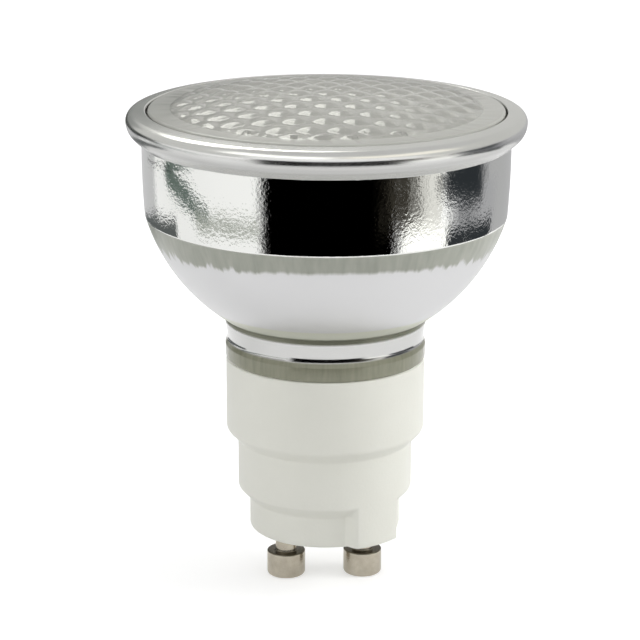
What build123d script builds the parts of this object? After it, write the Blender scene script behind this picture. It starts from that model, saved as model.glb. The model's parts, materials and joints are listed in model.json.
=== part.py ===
"""Metal halide reflector lamp: a pressed glass reflector with a honeycomb front lens,
a rolled aluminium rim, a stepped ceramic base and two headed contact pins.

Millimetres, +Z up towards the lens. The two pins stand side by side along X, and the
origin lies midway between their end faces. The sizes and functions below measure height
from the base's lower face, and write() lifts each finished piece by the pins' reach.
"""
from build123d import *
import math
import os

# Ceramic base, measured up from its lower face
pin_tier_radius = 9.7
pin_tier_top = 4.1
middle_tier_radius = 11.2
middle_tier_height = 6.4
neck_tier_radius = 12.7
base_height = 23.0
base_floor = 4.5
wire_room_clearance = 0.4
spigot_height = 3.6
spigot_wall = 2.3
key_start = 2.1
key_width = 6.7
key_ramp = 1.5
key_clearance = 0.2
edge_bevel = 0.35

# Contact pins
pin_spacing = 10.0
pin_head_radius = 2.5
pin_head_height = 3.3
pin_head_drop = 3.65
pin_head_round = 0.45
pin_stem_radius = 1.4
pin_shank_radius = 1.1
pin_hole_clearance = 0.05
pin_flare_radius = 2.2
pin_flare_height = 0.5
pin_bore_radius = 0.7
pin_end_thickness = 3.6
solder_depth = 1.9

# Glass reflector
cement_thickness = 0.5
neck_height = 5.41
neck_overhang = 0.05
neck_bead_swell = 0.29
neck_bead_height = 2.9
neck_top_swell = 0.1
bowl_radius = 23.8
bowl_glass = 1.9
crease_inset = 0.95
wall_flare = 0.3
wall_height = 9.2
wall_glass = 1.6
flange_width = 1.15
flange_rise = 1.2
flange_height = 0.35
facets_round = 40
facet_rings = 6

# Rolled rim ring
rim_sheet = 0.4
rim_gap = 0.08
rim_side_gap = 0.4
rim_hip = 1.4
rim_shoulder = 0.65
rim_top_fall = 0.25
rim_mouth_gap = 0.25

# Front lens and its seal
seal_thickness = 0.25
lens_flange_height = 1.25
lens_flange_width = 1.95
lens_step_height = 1.1
lens_step_round = 0.35
lens_border_width = 2.8
lens_glass = 2.0
dome_rise = 1.75
cell_pitch = 3.7
cell_height = 0.4
cell_top_share = 0.62
honeycomb_turn = -5.0

# Quartz capsule with its pinch
capsule_wall = 0.9
capsule_clearance = 1.2
capsule_lift = 1.8
capsule_tip_radius = 1.0
capsule_tip_end_radius = 0.35
capsule_tip_height = 1.5
pinch_width = 11.4
pinch_thickness = 3.0
pinch_drop = 2.1
cement_depth = 7.0

# Ceramic arc tube on its two electrodes
arc_radius = 3.4
arc_half_length = 4.0
arc_wall = 0.6
capillary_radius = 1.1
capillary_length = 3.0
electrode_radius = 0.25
electrode_clearance = 0.05
electrode_coil_radius = 0.45
electrode_coil_length = 0.8
electrode_reach = 1.0
electrode_stub = 0.9
frit_height = 0.5
frit_radius = 0.85

# Wires, foils and getter
wire_radius = 0.3
wire_clearance = 0.3
wire_floor_gap = 0.2
wire_bend = 2.6
short_wire_bend = 0.9
foil_offset = 2.6
foil_width = 2.4
foil_thickness = 0.12
foil_length = 7.5
foil_drop = 2.8
lead_radius = 0.35
lead_bend = 1.5
lead_drop = 3.5
lead_rise = 3.5
getter_length = 3.0
getter_width = 2.0
getter_thickness = 0.2
getter_lift = 1.1

# Sizes and heights that follow from the ones above: base and pins
middle_tier_foot = pin_tier_top + middle_tier_radius - pin_tier_radius
middle_tier_top = middle_tier_foot + middle_tier_height
neck_tier_foot = middle_tier_top + neck_tier_radius - middle_tier_radius
base_bore_radius = pin_spacing / 2 + pin_flare_radius + wire_room_clearance
spigot_radius = base_bore_radius + spigot_wall
spigot_top = base_height + spigot_height
pin_reach = pin_head_drop + pin_head_height
pin_bore_foot = pin_end_thickness - pin_reach

# Glass reflector
neck_bore_radius = spigot_radius + cement_thickness
neck_foot_radius = neck_tier_radius + neck_overhang
neck_bead_radius = neck_foot_radius + neck_bead_swell
neck_top_radius = neck_foot_radius + neck_top_swell
neck_top = base_height + neck_height
bowl_centre = neck_top + math.sqrt(bowl_radius**2 - neck_top_radius**2)
wall_foot_radius = bowl_radius - crease_inset
wall_top_radius = wall_foot_radius + wall_flare
wall_foot = bowl_centre - math.sqrt(bowl_radius**2 - wall_foot_radius**2)
wall_top = wall_foot + wall_height
mirror_bore_radius = neck_bore_radius / math.cos(math.pi / facets_round)
flange_radius = wall_top_radius + flange_width
flange_foot = wall_top + flange_rise
flange_top = flange_foot + flange_height

# Lens and rim
lens_step_radius = flange_radius - lens_flange_width
lens_foot = flange_top + seal_thickness
lens_flange_top = lens_foot + lens_flange_height
lens_border_top = lens_flange_top + lens_step_height
honeycomb_radius = lens_step_radius - lens_border_width
dome_radius = (honeycomb_radius**2 + dome_rise**2) / (2 * dome_rise)
dome_centre = lens_border_top + dome_rise - dome_radius
rim_radius = flange_radius + rim_side_gap + rim_sheet
rim_mouth_radius = lens_step_radius + rim_mouth_gap
rim_mouth_top = lens_flange_top + rim_gap + rim_sheet
rim_top = rim_mouth_top + rim_top_fall

# Capsule, arc tube and wires
pinch_foot = spigot_top - cement_depth - pinch_drop
capsule_floor = spigot_top + capsule_lift + capsule_wall
arc_reach = arc_half_length + capillary_length
arc_centre = capsule_floor + wire_floor_gap + 2 * wire_radius + electrode_stub + arc_reach
capsule_dome_centre = arc_centre + arc_half_length
long_wire_offset = arc_radius + wire_clearance + wire_radius
capsule_radius = long_wire_offset + wire_radius + capsule_clearance + capsule_wall
foil_top = capsule_floor - foil_drop
foil_foot = foil_top - foil_length
lead_spread_top = pinch_foot - lead_drop
lead_spread_foot = base_floor + lead_rise


def write(shape, node):
    """Lift one piece onto the pins' end plane and save it under its node name."""
    export_step(Pos(0, 0, pin_reach) * shape, f"parts/{node}.step")


def turned(points):
    """Revolve a closed outline of (radius, height) corners about the Z axis."""
    return revolve(Plane.XZ * make_face(Polyline(*points, close=True)), Axis.Z)


def tube(outer, inner, foot, top):
    """A plain round tube between two heights."""
    return turned([(inner, foot), (outer, foot), (outer, top), (inner, top)])


def rod(radius, foot, top, x=0.0):
    """A plain upright rod."""
    return Pos(x, 0, foot) * Cylinder(radius, top - foot, align=(Align.CENTER, Align.CENTER, Align.MIN))


def block(width, depth, foot, top, x=0.0):
    """An upright block centred on X and Y."""
    return Pos(x, 0, foot) * Box(width, depth, top - foot, align=(Align.CENTER, Align.CENTER, Align.MIN))


def round_edges(shape, radius):
    """The circular edges of one radius, from the lowest to the highest."""
    circles = shape.edges().filter_by(GeomType.CIRCLE)
    return circles.filter_by(lambda edge: math.isclose(edge.radius, radius)).sort_by(Axis.Z)


def bent_wire(points, bend, radius):
    """A round wire along straight runs with rounded corners."""
    path = FilletPolyline(*points, radius=bend)
    start = Plane(path @ 0, z_dir=path % 0)
    return sweep(start * Circle(radius), path=path)


def base_outside():
    """The turned form with 45 degree steps between its tiers."""
    return turned([
        (0, 0),
        (middle_tier_radius, 0),
        (middle_tier_radius, middle_tier_top),
        (neck_tier_radius, neck_tier_foot),
        (neck_tier_radius, base_height),
        (spigot_radius, base_height),
        (spigot_radius, spigot_top),
        (0, spigot_top),
    ])


def base_key():
    """The upright prism of one lug, with a ramp on its leading side."""
    near = -pin_tier_radius + key_ramp / 2
    far = -neck_tier_radius
    outline = Polyline(
        (key_start, 0),
        (key_start, near),
        (key_start + key_ramp, near - key_ramp),
        (key_start + key_ramp, far),
        (key_start + key_width, far),
        (key_start + key_width, 0),
        close=True,
    )
    return Pos(0, 0, key_clearance) * extrude(make_face(outline), neck_tier_foot)


def base_recess():
    """What is left out round the lowest tier, between the two lugs."""
    ring = turned([
        (pin_tier_radius - edge_bevel, 0),
        (neck_tier_radius, 0),
        (neck_tier_radius, middle_tier_foot),
        (middle_tier_radius, middle_tier_foot),
        (pin_tier_radius, pin_tier_top),
        (pin_tier_radius, edge_bevel),
    ])
    return ring - base_key() - Rot(0, 0, 180) * base_key()


def ceramic_base():
    """The white steatite base with its two lugs, wire room and pin holes."""
    body = base_outside() - base_recess()
    body -= rod(base_bore_radius, base_floor, spigot_top)
    for side in (-1, 1):
        hole = pin_shank_radius + pin_hole_clearance
        body -= rod(hole, 0, base_floor, side * pin_spacing / 2)
    return body


def contact_pin(side):
    """A headed pin, bored from above, shouldered under the base and flared over its floor."""
    outline = [
        (0, -pin_reach),
        (pin_head_radius, -pin_reach),
        (pin_head_radius, -pin_head_drop),
        (pin_stem_radius, -pin_head_drop),
        (pin_stem_radius, 0),
        (pin_shank_radius, 0),
        (pin_shank_radius, base_floor),
        (pin_flare_radius, base_floor),
        (pin_flare_radius, base_floor + pin_flare_height),
        (pin_bore_radius, base_floor + pin_flare_height),
        (pin_bore_radius, pin_bore_foot),
        (0, pin_bore_foot),
    ]
    pin = turned(outline)
    pin = fillet(round_edges(pin, pin_head_radius)[0], pin_head_round)
    return Pos(side * pin_spacing / 2, 0, 0) * pin


def outer_lead(side):
    """The wire from a foil down into its pin."""
    foil_x = side * foil_offset
    pin_x = side * pin_spacing / 2
    points = [
        (foil_x, 0, foil_foot),
        (foil_x, 0, lead_spread_top),
        (pin_x, 0, lead_spread_foot),
        (pin_x, 0, pin_bore_foot + solder_depth / 2),
    ]
    return bent_wire(points, lead_bend, lead_radius)


def pin_solder(side):
    """The solder in the foot of a pin's bore, round the end of its lead."""
    plug = rod(pin_bore_radius, pin_bore_foot, pin_bore_foot + solder_depth, side * pin_spacing / 2)
    return plug - outer_lead(side)


def facet_section(index):
    """One polygon of the faceted mirror, on the sphere of the inner bowl."""
    inner = bowl_radius - bowl_glass
    lowest = math.asin(mirror_bore_radius / inner)
    highest = math.asin((wall_foot_radius - wall_glass) / inner)
    angle = lowest + (highest - lowest) * index / facet_rings
    radius = inner * math.sin(angle)
    height = bowl_centre - inner * math.cos(angle)
    return Pos(0, 0, height) * RegularPolygon(radius, facets_round)


def mirror_room():
    """The space inside the glass: faceted bowl, smooth upper wall and neck bore."""
    sections = [facet_section(index) for index in range(facet_rings + 1)]
    bowl = loft([section.face() for section in sections], ruled=True)
    bowl_foot = bowl.bounding_box().min.Z
    bowl_top = bowl.bounding_box().max.Z
    smooth = turned([
        (0, bowl_top),
        (wall_foot_radius - wall_glass, bowl_top),
        (wall_top_radius - wall_glass, wall_top),
        (wall_top_radius - wall_glass, flange_top),
        (0, flange_top),
    ])
    bore = rod(neck_bore_radius, base_height, bowl_foot)
    return bowl + smooth + bore


def reflector():
    """The pressed glass cup: neck, round bowl, straight wall and flared flange."""
    start = math.degrees(math.acos((bowl_centre - neck_top) / bowl_radius))
    finish = math.degrees(math.acos((bowl_centre - wall_foot) / bowl_radius))
    bowl = CenterArc((0, bowl_centre), bowl_radius, start - 90, finish - start)
    rest = Polyline(
        bowl @ 1,
        (wall_top_radius, wall_top),
        (flange_radius, flange_foot),
        (flange_radius, flange_top),
        (0, flange_top),
        (0, base_height),
        (neck_foot_radius, base_height),
    )
    neck = ThreePointArc(
        (neck_foot_radius, base_height),
        (neck_bead_radius, base_height + neck_bead_height),
        bowl @ 0,
    )
    outside = revolve(Plane.XZ * make_face(Curve() + [bowl, rest, neck]), Axis.Z)
    return outside - mirror_room()


def neck_cement():
    """The cement ring between the base's spigot and the glass neck."""
    return tube(neck_bore_radius, spigot_radius, base_height, spigot_top)


def rim_ring():
    """The aluminium ring rolled round the flange and the lens edge."""
    flare = math.atan2(flange_radius - wall_top_radius, flange_rise)
    foot_radius = wall_top_radius + rim_gap * math.cos(flare)
    foot = wall_top - rim_gap * math.sin(flare)
    side_radius = rim_radius - rim_sheet
    side_foot = foot + (side_radius - foot_radius) / math.tan(flare)
    inner_face = FilletPolyline(
        (foot_radius, foot),
        (side_radius, side_foot),
        (side_radius, rim_top - rim_sheet),
        (rim_mouth_radius, rim_mouth_top - rim_sheet),
        radius=[rim_hip, rim_shoulder],
    )
    section = offset(inner_face, rim_sheet, side=Side.RIGHT)
    return revolve(Plane.XZ * make_face(section), Axis.Z)


def lens_seal():
    """The seal between the glass flange and the lens."""
    return tube(flange_radius, wall_top_radius - wall_glass, flange_top, lens_foot)


def lens_blank():
    """The domed glass disc with its flange, before the honeycomb."""
    border_top = lens_border_top
    dome = ThreePointArc(
        (honeycomb_radius, border_top),
        dome_point(honeycomb_radius / 2),
        (0, border_top + dome_rise),
    )
    under = ThreePointArc(
        (0, border_top + dome_rise - lens_glass),
        (honeycomb_radius / 2, dome_point(honeycomb_radius / 2)[1] - lens_glass),
        (honeycomb_radius, border_top - lens_glass),
    )
    edge = Polyline(
        under @ 1,
        (honeycomb_radius, lens_foot),
        (flange_radius, lens_foot),
        (flange_radius, lens_flange_top),
        (lens_step_radius, lens_flange_top),
        (lens_step_radius, border_top),
        dome @ 0,
    )
    axis = Line(dome @ 1, under @ 0)
    blank = revolve(Plane.XZ * make_face(Curve() + [dome, axis, under, edge]), Axis.Z)
    return fillet(round_edges(blank, lens_step_radius)[-1], lens_step_round)


def dome_point(radius):
    """Radius and height of a point on the lens dome."""
    return (radius, dome_centre + math.sqrt(dome_radius**2 - radius**2))


def honeycomb_places():
    """Centres of the hexagonal cells that lie inside the border."""
    places = []
    reach = int(honeycomb_radius / cell_pitch) + 2
    row_pitch = cell_pitch * math.sqrt(3) / 2
    for row in range(-reach, reach + 1):
        for column in range(-reach, reach + 1):
            x = (column + row % 2 / 2) * cell_pitch
            y = row * row_pitch
            if math.hypot(x, y) + cell_pitch / 2 < honeycomb_radius:
                places.append((x, y))
    return places


def cell_corners(share):
    """Corners of a hexagonal cell about its centre, drawn in to a share of full size."""
    reach = share * cell_pitch / math.sqrt(3)
    angles = [math.radians(60 * corner) for corner in range(6)]
    return [(reach * math.sin(angle), reach * math.cos(angle)) for angle in angles]


def on_dome(x, y, depth=0.0):
    """The point of the dome above (x, y), or the one that lies a depth below it."""
    radius, height = dome_point(math.hypot(x, y))
    return Vector(x, y, height - depth)


def cell_top(x, y):
    """Corners of one lenslet's flat top, which lies square to the dome under it."""
    height = on_dome(x, y).Z
    tilt = height - dome_centre
    corners = []
    for across, along in cell_corners(cell_top_share):
        fall = (x * across + y * along) / tilt
        corners.append(Vector(x + across, y + along, height + cell_height - fall))
    return corners


def triangle(*corners):
    """A flat face between three corners."""
    return Face(Wire.make_polygon(corners))


def lens_cell(x, y, places):
    """Faces of one lenslet: top, slopes down to the shared valleys, and root in the glass."""
    root = lens_glass / 2
    top = cell_top(x, y)
    outline = cell_corners(1)
    valley = [on_dome(x + across, y + along) for across, along in outline]
    low = [on_dome(x + across, y + along, root) for across, along in outline]
    faces = [Face(Wire.make_polygon(top))]
    for first in range(6):
        last = (first + 1) % 6
        faces.append(triangle(top[first], valley[first], valley[last]))
        faces.append(triangle(top[first], valley[last], top[last]))
        faces.append(triangle(on_dome(x, y, root), low[first], low[last]))
        beyond = (x + outline[first][0] + outline[last][0], y + outline[first][1] + outline[last][1])
        if not any(math.dist(beyond, place) < cell_pitch / 2 for place in places):
            faces.append(triangle(valley[first], low[first], low[last]))
            faces.append(triangle(valley[first], low[last], valley[last]))
    return faces


def front_lens():
    """The pressed lens with its field of hexagonal lenslets."""
    places = honeycomb_places()
    faces = []
    for x, y in places:
        faces += lens_cell(x, y, places)
    honeycomb = Solid(Shell(faces))
    return Rot(0, 0, honeycomb_turn) * (lens_blank() + honeycomb)


def quartz_capsule(inside):
    """The sealed quartz jacket: round body, dome, tip and flat pinch."""
    dome = Pos(0, 0, capsule_dome_centre) * Sphere(capsule_radius)
    shoulder = capsule_floor - capsule_wall
    body = rod(capsule_radius, shoulder, capsule_dome_centre) + dome
    tip_foot = capsule_dome_centre + capsule_radius - capsule_wall / 2
    tip_height = capsule_tip_height + capsule_wall / 2
    tip = Pos(0, 0, tip_foot) * Cone(
        capsule_tip_radius,
        capsule_tip_end_radius,
        tip_height,
        align=(Align.CENTER, Align.CENTER, Align.MIN),
    )
    pinch = block(pinch_width, pinch_thickness, pinch_foot, shoulder)
    room_radius = capsule_radius - capsule_wall
    room = rod(room_radius, capsule_floor, capsule_dome_centre)
    room += Pos(0, 0, capsule_dome_centre) * Sphere(room_radius)
    jacket = body + tip + pinch - room
    for piece in inside:
        jacket -= piece
    return jacket


def capsule_cement():
    """The cement that holds the pinch in the base."""
    plug = rod(base_bore_radius, spigot_top - cement_depth, spigot_top)
    return plug - block(pinch_width, pinch_thickness, pinch_foot, spigot_top)


def arc_tube():
    """The translucent ceramic vessel with its two capillaries."""
    room_radius = arc_radius - arc_wall
    outer_reach = arc_half_length - arc_radius
    barrel = rod(arc_radius, arc_centre - outer_reach, arc_centre + outer_reach)
    room = rod(room_radius, arc_centre - outer_reach, arc_centre + outer_reach)
    for side in (-1, 1):
        end = Pos(0, 0, arc_centre + side * outer_reach)
        barrel += end * Sphere(arc_radius)
        room += end * Sphere(room_radius)
    barrel += rod(capillary_radius, arc_centre - arc_reach, arc_centre + arc_reach)
    bore = rod(electrode_radius + electrode_clearance, arc_centre - arc_reach, arc_centre + arc_reach)
    return barrel - room - bore


def electrode(side):
    """A feedthrough rod with a wound tip inside the arc tube."""
    tip = arc_centre + side * (arc_half_length - arc_wall - electrode_reach)
    end = electrode_end(side)
    stem = rod(electrode_radius, min(tip, end), max(tip, end))
    coil_end = tip + side * electrode_coil_length
    return stem + rod(electrode_coil_radius, min(tip, coil_end), max(tip, coil_end))


def electrode_end(side):
    """Height of an electrode's outer end."""
    return arc_centre + side * (arc_reach + electrode_stub)


def frit_seal(side):
    """The glass bead that seals an electrode at its capillary's mouth."""
    mouth = arc_centre + side * arc_reach
    bead = Cone(
        frit_radius,
        electrode_radius + electrode_clearance,
        frit_height,
        align=(Align.CENTER, Align.CENTER, Align.MIN),
    )
    turn = Rot(0, 0, 0) if side > 0 else Rot(180, 0, 0)
    bead = Pos(0, 0, mouth) * turn * bead
    return bead - rod(electrode_radius, mouth - frit_height, mouth + frit_height)


def frame_wire_long():
    """The wire that climbs beside the arc tube to its upper electrode."""
    level = electrode_end(1) + wire_radius
    points = [
        (foil_offset, 0, foil_top),
        (foil_offset, 0, capsule_floor + wire_radius),
        (long_wire_offset, 0, capsule_floor + wire_radius + getter_lift),
        (long_wire_offset, 0, level),
        (-electrode_radius, 0, level),
    ]
    return bent_wire(points, [short_wire_bend, short_wire_bend, wire_bend], wire_radius)


def frame_wire_short():
    """The wire that carries the lower electrode."""
    level = electrode_end(-1) - wire_radius
    points = [
        (-foil_offset, 0, foil_top),
        (-foil_offset, 0, level),
        (electrode_radius, 0, level),
    ]
    return bent_wire(points, short_wire_bend, wire_radius)


def foil(side):
    """The thin molybdenum foil sealed in the pinch."""
    return block(foil_width, foil_thickness, foil_foot, foil_top, side * foil_offset)


def getter():
    """The small flat getter on the long wire."""
    foot = capsule_floor + getter_lift + wire_radius + short_wire_bend
    x = long_wire_offset - wire_radius - getter_thickness / 2
    return block(getter_thickness, getter_width, foot, foot + getter_length, x)


def main():
    """Build every piece and write one file for each."""
    os.makedirs("parts", exist_ok=True)
    long_wire = frame_wire_long()
    short_wire = frame_wire_short()
    sealed = [long_wire, short_wire]
    write(long_wire, "frame_wire_long")
    write(short_wire, "frame_wire_short")
    for side, name in ((-1, "left"), (1, "right")):
        strip = foil(side)
        lead = outer_lead(side)
        sealed += [strip, lead]
        write(strip, f"foil_{name}")
        write(lead, f"outer_lead_{name}")
        write(contact_pin(side), f"contact_pin_{name}")
        write(pin_solder(side), f"pin_solder_{name}")
    for side, name in ((-1, "lower"), (1, "upper")):
        write(electrode(side), f"electrode_{name}")
        write(frit_seal(side), f"frit_seal_{name}")
    write(arc_tube(), "arc_tube")
    write(getter(), "getter")
    write(quartz_capsule(sealed), "quartz_capsule")
    write(capsule_cement(), "capsule_cement")
    write(neck_cement(), "neck_cement")
    write(ceramic_base(), "ceramic_base")
    write(reflector(), "reflector")
    write(rim_ring(), "rim_ring")
    write(lens_seal(), "lens_seal")
    write(front_lens(), "front_lens")


main()
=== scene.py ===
# %% [markdown]
# # Dressing a metal halide reflector lamp
#
# The lamp is a pressed glass bowl with a bright metal film on it, closed by a honeycomb lens under a rolled
# aluminium rim. It stands on a stepped white ceramic base with two headed pins. The CAD model gives every
# piece its place and size. Here each visible piece gets its fine form and finish, and never a new place.

# %% Load the frame
import bpy
import bmesh
import json
import math
from mathutils import Matrix, Vector, geometry


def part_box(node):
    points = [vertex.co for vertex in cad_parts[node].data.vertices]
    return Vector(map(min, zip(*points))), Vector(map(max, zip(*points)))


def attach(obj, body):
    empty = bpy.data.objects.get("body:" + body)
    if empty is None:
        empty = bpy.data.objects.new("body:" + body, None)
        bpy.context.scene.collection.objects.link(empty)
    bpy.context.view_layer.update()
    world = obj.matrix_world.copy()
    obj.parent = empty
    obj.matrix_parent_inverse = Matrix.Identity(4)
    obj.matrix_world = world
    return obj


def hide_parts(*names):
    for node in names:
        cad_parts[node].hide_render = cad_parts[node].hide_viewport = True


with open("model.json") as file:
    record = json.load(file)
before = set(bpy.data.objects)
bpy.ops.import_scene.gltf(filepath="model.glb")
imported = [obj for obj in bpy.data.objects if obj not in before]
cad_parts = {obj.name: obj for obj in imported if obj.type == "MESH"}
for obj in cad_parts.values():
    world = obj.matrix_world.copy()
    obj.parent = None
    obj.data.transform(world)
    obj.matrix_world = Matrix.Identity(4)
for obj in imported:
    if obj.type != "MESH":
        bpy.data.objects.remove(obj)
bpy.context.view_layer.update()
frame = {"nodes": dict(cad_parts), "record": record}
MM = 0.001

# %% [markdown]
# ## Heights and radii from the CAD model
#
# Every piece that is modelled here has to lie on the CAD piece it stands for, so the main heights and radii
# are read from the frame in millimetres, and only the fine form between them is added.

# %% Read the main sizes
def reach(node):
    """A node's outer radius, lowest height and highest height, in mm."""
    low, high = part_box(node)
    return high.y / MM, low.z / MM, high.z / MM


glass_radius, glass_foot, glass_top = reach("reflector")
rim_radius, rim_foot, rim_top = reach("rim_ring")
lens_radius, lens_foot, lens_crown = reach("front_lens")
base_radius, base_foot = reach("ceramic_base")[:2]
pin_radius, pin_foot = reach("contact_pin_left")[:2]
print(f"glass {glass_foot:.2f} to {glass_top:.2f}, rim to {rim_top:.2f}, lens to {lens_crown:.2f} mm")

# %% [markdown]
# ## Drawing an outline
#
# Bowl, rim, lens and pins are round, so each of them starts as an outline of radius and height that is turned
# about the lamp's axis. Pressed and rolled edges are never sharp. A bevel modifier could break them, but it
# uses one width all over, so the outline has a rounding for each corner, and a helper puts in the arcs.

# %% Outline helpers
def rounded(corners, steps=6):
    """An outline from (radius, height, rounding) corners, with an arc of short steps at each rounded one."""
    outline = []
    for index, (x, z, rounding) in enumerate(corners):
        here = Vector((x, z))
        if not rounding or index in (0, len(corners) - 1):
            outline.append((x, z))
            continue
        back = (Vector(corners[index - 1][:2]) - here).normalized()
        ahead = (Vector(corners[index + 1][:2]) - here).normalized()
        half = back.angle(ahead) / 2
        run = rounding / math.tan(half)
        start, end = here + back * run, here + ahead * run
        centre = here + (back + ahead).normalized() * rounding / math.sin(half)
        for step in range(steps + 1):
            between = start.lerp(end, step / steps) - centre
            outline.append(tuple(centre + between.normalized() * rounding))
    return outline


def sphere_arc(radius, centre, low, high, steps):
    """Points on a round bowl's section between two heights."""
    start, end = (math.asin((level - centre) / radius) for level in (low, high))
    angles = [start + (end - start) * step / steps for step in range(steps + 1)]
    return [(radius * math.cos(angle), centre + radius * math.sin(angle)) for angle in angles]


sample = rounded([(1, 0, 0), (2, 0, 0.5), (2, 1, 0)], steps=2)
print("a corner rounded in two steps:", [tuple(round(c, 2) for c in point) for point in sample])

# %% [markdown]
# ## From rings of points to a piece
#
# A turned piece is a stack of rings, and so are the bowl's facets, the lens's edge and the base. A screw
# modifier could turn an outline, but not a ring whose radius changes as it goes round. So the rings are
# written as points, and one helper joins each ring to the next.

# %% Ring helpers
CRISP_EDGE = 35
ON_AXIS = 1e-6


def polar(radius, angle, height):
    """A point in mm from its radius, its angle and its height."""
    return radius * math.cos(angle), radius * math.sin(angle), height


def even_rings(count, size):
    """The point numbers of rings that all have the same size."""
    return [range(ring * size, (ring + 1) * size) for ring in range(count)]


def join_rings(rings, closed=False):
    """Faces between each ring of point numbers and the next. A ring of one point closes the piece there."""
    faces = []
    pairs = list(zip(rings, rings[1:])) + [(rings[-1], rings[0])] * closed
    for low, high in pairs:
        count = max(len(low), len(high))
        for step in range(count):
            after = (step + 1) % count
            ways = ((low, step), (low, after), (high, after), (high, step))
            corners = [ring[at % len(ring)] for ring, at in ways]
            faces.append(list(dict.fromkeys(corners)))
    return faces


def add_object(name, data):
    """Put a mesh, lamp or camera into the scene."""
    made = bpy.data.objects.new(name, data)
    bpy.context.scene.collection.objects.link(made)
    return made


def add_piece(name, points, faces, crisp_degrees=CRISP_EDGE, second=()):
    """A closed piece of the lamp from points in mm. The faces numbered in second take its second material."""
    mesh = bpy.data.meshes.new(name)
    mesh.from_pydata([[c * MM for c in point] for point in points], [], faces)
    mesh.polygons.foreach_set("material_index", [int(face in second) for face in range(len(faces))])
    work = bmesh.new()
    work.from_mesh(mesh)
    bmesh.ops.recalc_face_normals(work, faces=work.faces)
    work.to_mesh(mesh)
    work.free()
    mesh.polygons.foreach_set("use_smooth", [True] * len(mesh.polygons))
    mesh.set_sharp_from_angle(angle=math.radians(crisp_degrees))
    mesh.validate()
    piece = add_object(name, mesh)
    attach(piece, "root")
    print(f"{name}: {len(faces)} faces")
    return piece


def lathe(name, outline, around, closed=False, axis_x=0.0):
    """Turn an outline in mm about an upright axis. Points on the axis close the piece there."""
    points, rings = [], []
    for radius, height in outline:
        count = around if radius > ON_AXIS else 1
        rings.append(range(len(points), len(points) + count))
        for step in range(count):
            x, y, z = polar(radius, 2 * math.pi * step / around, height)
            points.append((axis_x + x, y, z))
    return add_piece(name, points, join_rings(rings, closed))


print("faces between two rings of four points:", len(join_rings(even_rings(2, 4))))

# %% [markdown]
# ## The rolled rim
#
# The rim is a strip of thin aluminium, spun round the flange of the bowl and over the edge of the lens. Its
# foot lies along the flared glass, then it turns upright at a soft hip and rolls inwards at the shoulder. A
# solid ring would look the same from outside, but the bowl's flange and the lens sit in it, so both faces of
# the strip are drawn. The bright lip needs many short steps to keep the light running smoothly round it.

# %% Rim ring
SHEET = 0.4
RIM_AROUND = 320
RIM_STEPS = 14
RIM_FOOT_RADIUS = 23.25
RIM_FOOT_SLANT = (0.2, 0.15)
RIM_TRIM = 0.5
RIM_HIP = 2.0
RIM_HIP_DROP = 0.5
RIM_MOUTH_RADIUS = 22.6
RIM_MOUTH_RISE = 0.32
RIM_MOUTH_ROUND = 0.2

# These roundings are for the strip's inner and its outer face
RIM_HIP_ROUND = (1.3, 2.3)
RIM_SHOULDER_ROUND = (0.65, 1.15)

rim_edge = rim_foot + RIM_TRIM
rim_mouth_top = rim_top + RIM_MOUTH_RISE
rim_outline = rounded([
    (RIM_FOOT_RADIUS, rim_edge + RIM_FOOT_SLANT[1], 0),
    (rim_radius - SHEET, rim_edge + RIM_HIP, RIM_HIP_ROUND[0]),
    (rim_radius - SHEET, rim_top - SHEET, RIM_SHOULDER_ROUND[0]),
    (RIM_MOUTH_RADIUS, rim_mouth_top - SHEET, 0),
    (RIM_MOUTH_RADIUS, rim_mouth_top, RIM_MOUTH_ROUND),
    (rim_radius, rim_top, RIM_SHOULDER_ROUND[1]),
    (rim_radius, rim_edge + RIM_HIP - RIM_HIP_DROP, RIM_HIP_ROUND[1]),
    (RIM_FOOT_RADIUS + RIM_FOOT_SLANT[0], rim_edge, 0),
], steps=RIM_STEPS)
rim = lathe("lamp_rim", rim_outline, RIM_AROUND, closed=True)
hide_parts("rim_ring")

# %% [markdown]
# ## The glass bowl
#
# Outside, the bowl has an upright wall that meets a round belly at a crease, and a short neck with a shallow
# waist. The wall bulges very slightly, and that bends what it mirrors. Inside, the belly is pressed as rings
# of flat facets that blend the light. A bump could draw them, but they show through the lens, so they are
# real faces. One closed mesh holds both sides, with a material for each.

# %% Bowl sizes
NECK_HEIGHT = 5.41
NECK_FOOT_RADIUS = 12.75
NECK_FOOT_LAND = 0.5
NECK_FLARE = 0.05
NECK_WAIST_RADIUS = 12.5
NECK_WAIST_HEIGHT = 2.75
NECK_WAIST_FALL = 0.9
NECK_WAIST_CLIMB = 2.2
NECK_TOP_RADIUS = 12.85
NECK_BORE_RADIUS = 10.4
BOWL_RADIUS = 23.8
BOWL_GLASS = 1.9
CREASE_INSET = 0.95
CREASE_ROUND = 1.0
WALL_FLARE = 0.30
WALL_HEIGHT = 9.4
WALL_BULGE = 0.1
WALL_STEPS = 8
WALL_GLASS = 1.6
WALL_INSIDE_RISE = 1.0
FLANGE_RISE = 1.0
FACETS_ROUND = 40
FACET_RINGS = 6

neck_top = glass_foot + NECK_HEIGHT
waist = glass_foot + NECK_WAIST_HEIGHT
bowl_centre = neck_top + math.sqrt(BOWL_RADIUS**2 - NECK_TOP_RADIUS**2)
crease_radius = BOWL_RADIUS - CREASE_INSET
crease = bowl_centre - math.sqrt(BOWL_RADIUS**2 - crease_radius**2)
wall_top_radius = crease_radius + WALL_FLARE
wall_top = crease + WALL_HEIGHT
wall_inside = wall_top_radius - WALL_GLASS
print(f"neck to {neck_top:.2f}, crease at {crease:.2f}, wall to {wall_top:.2f} mm")

# %% Bowl outside
BELLY_STEPS = 40

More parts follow.
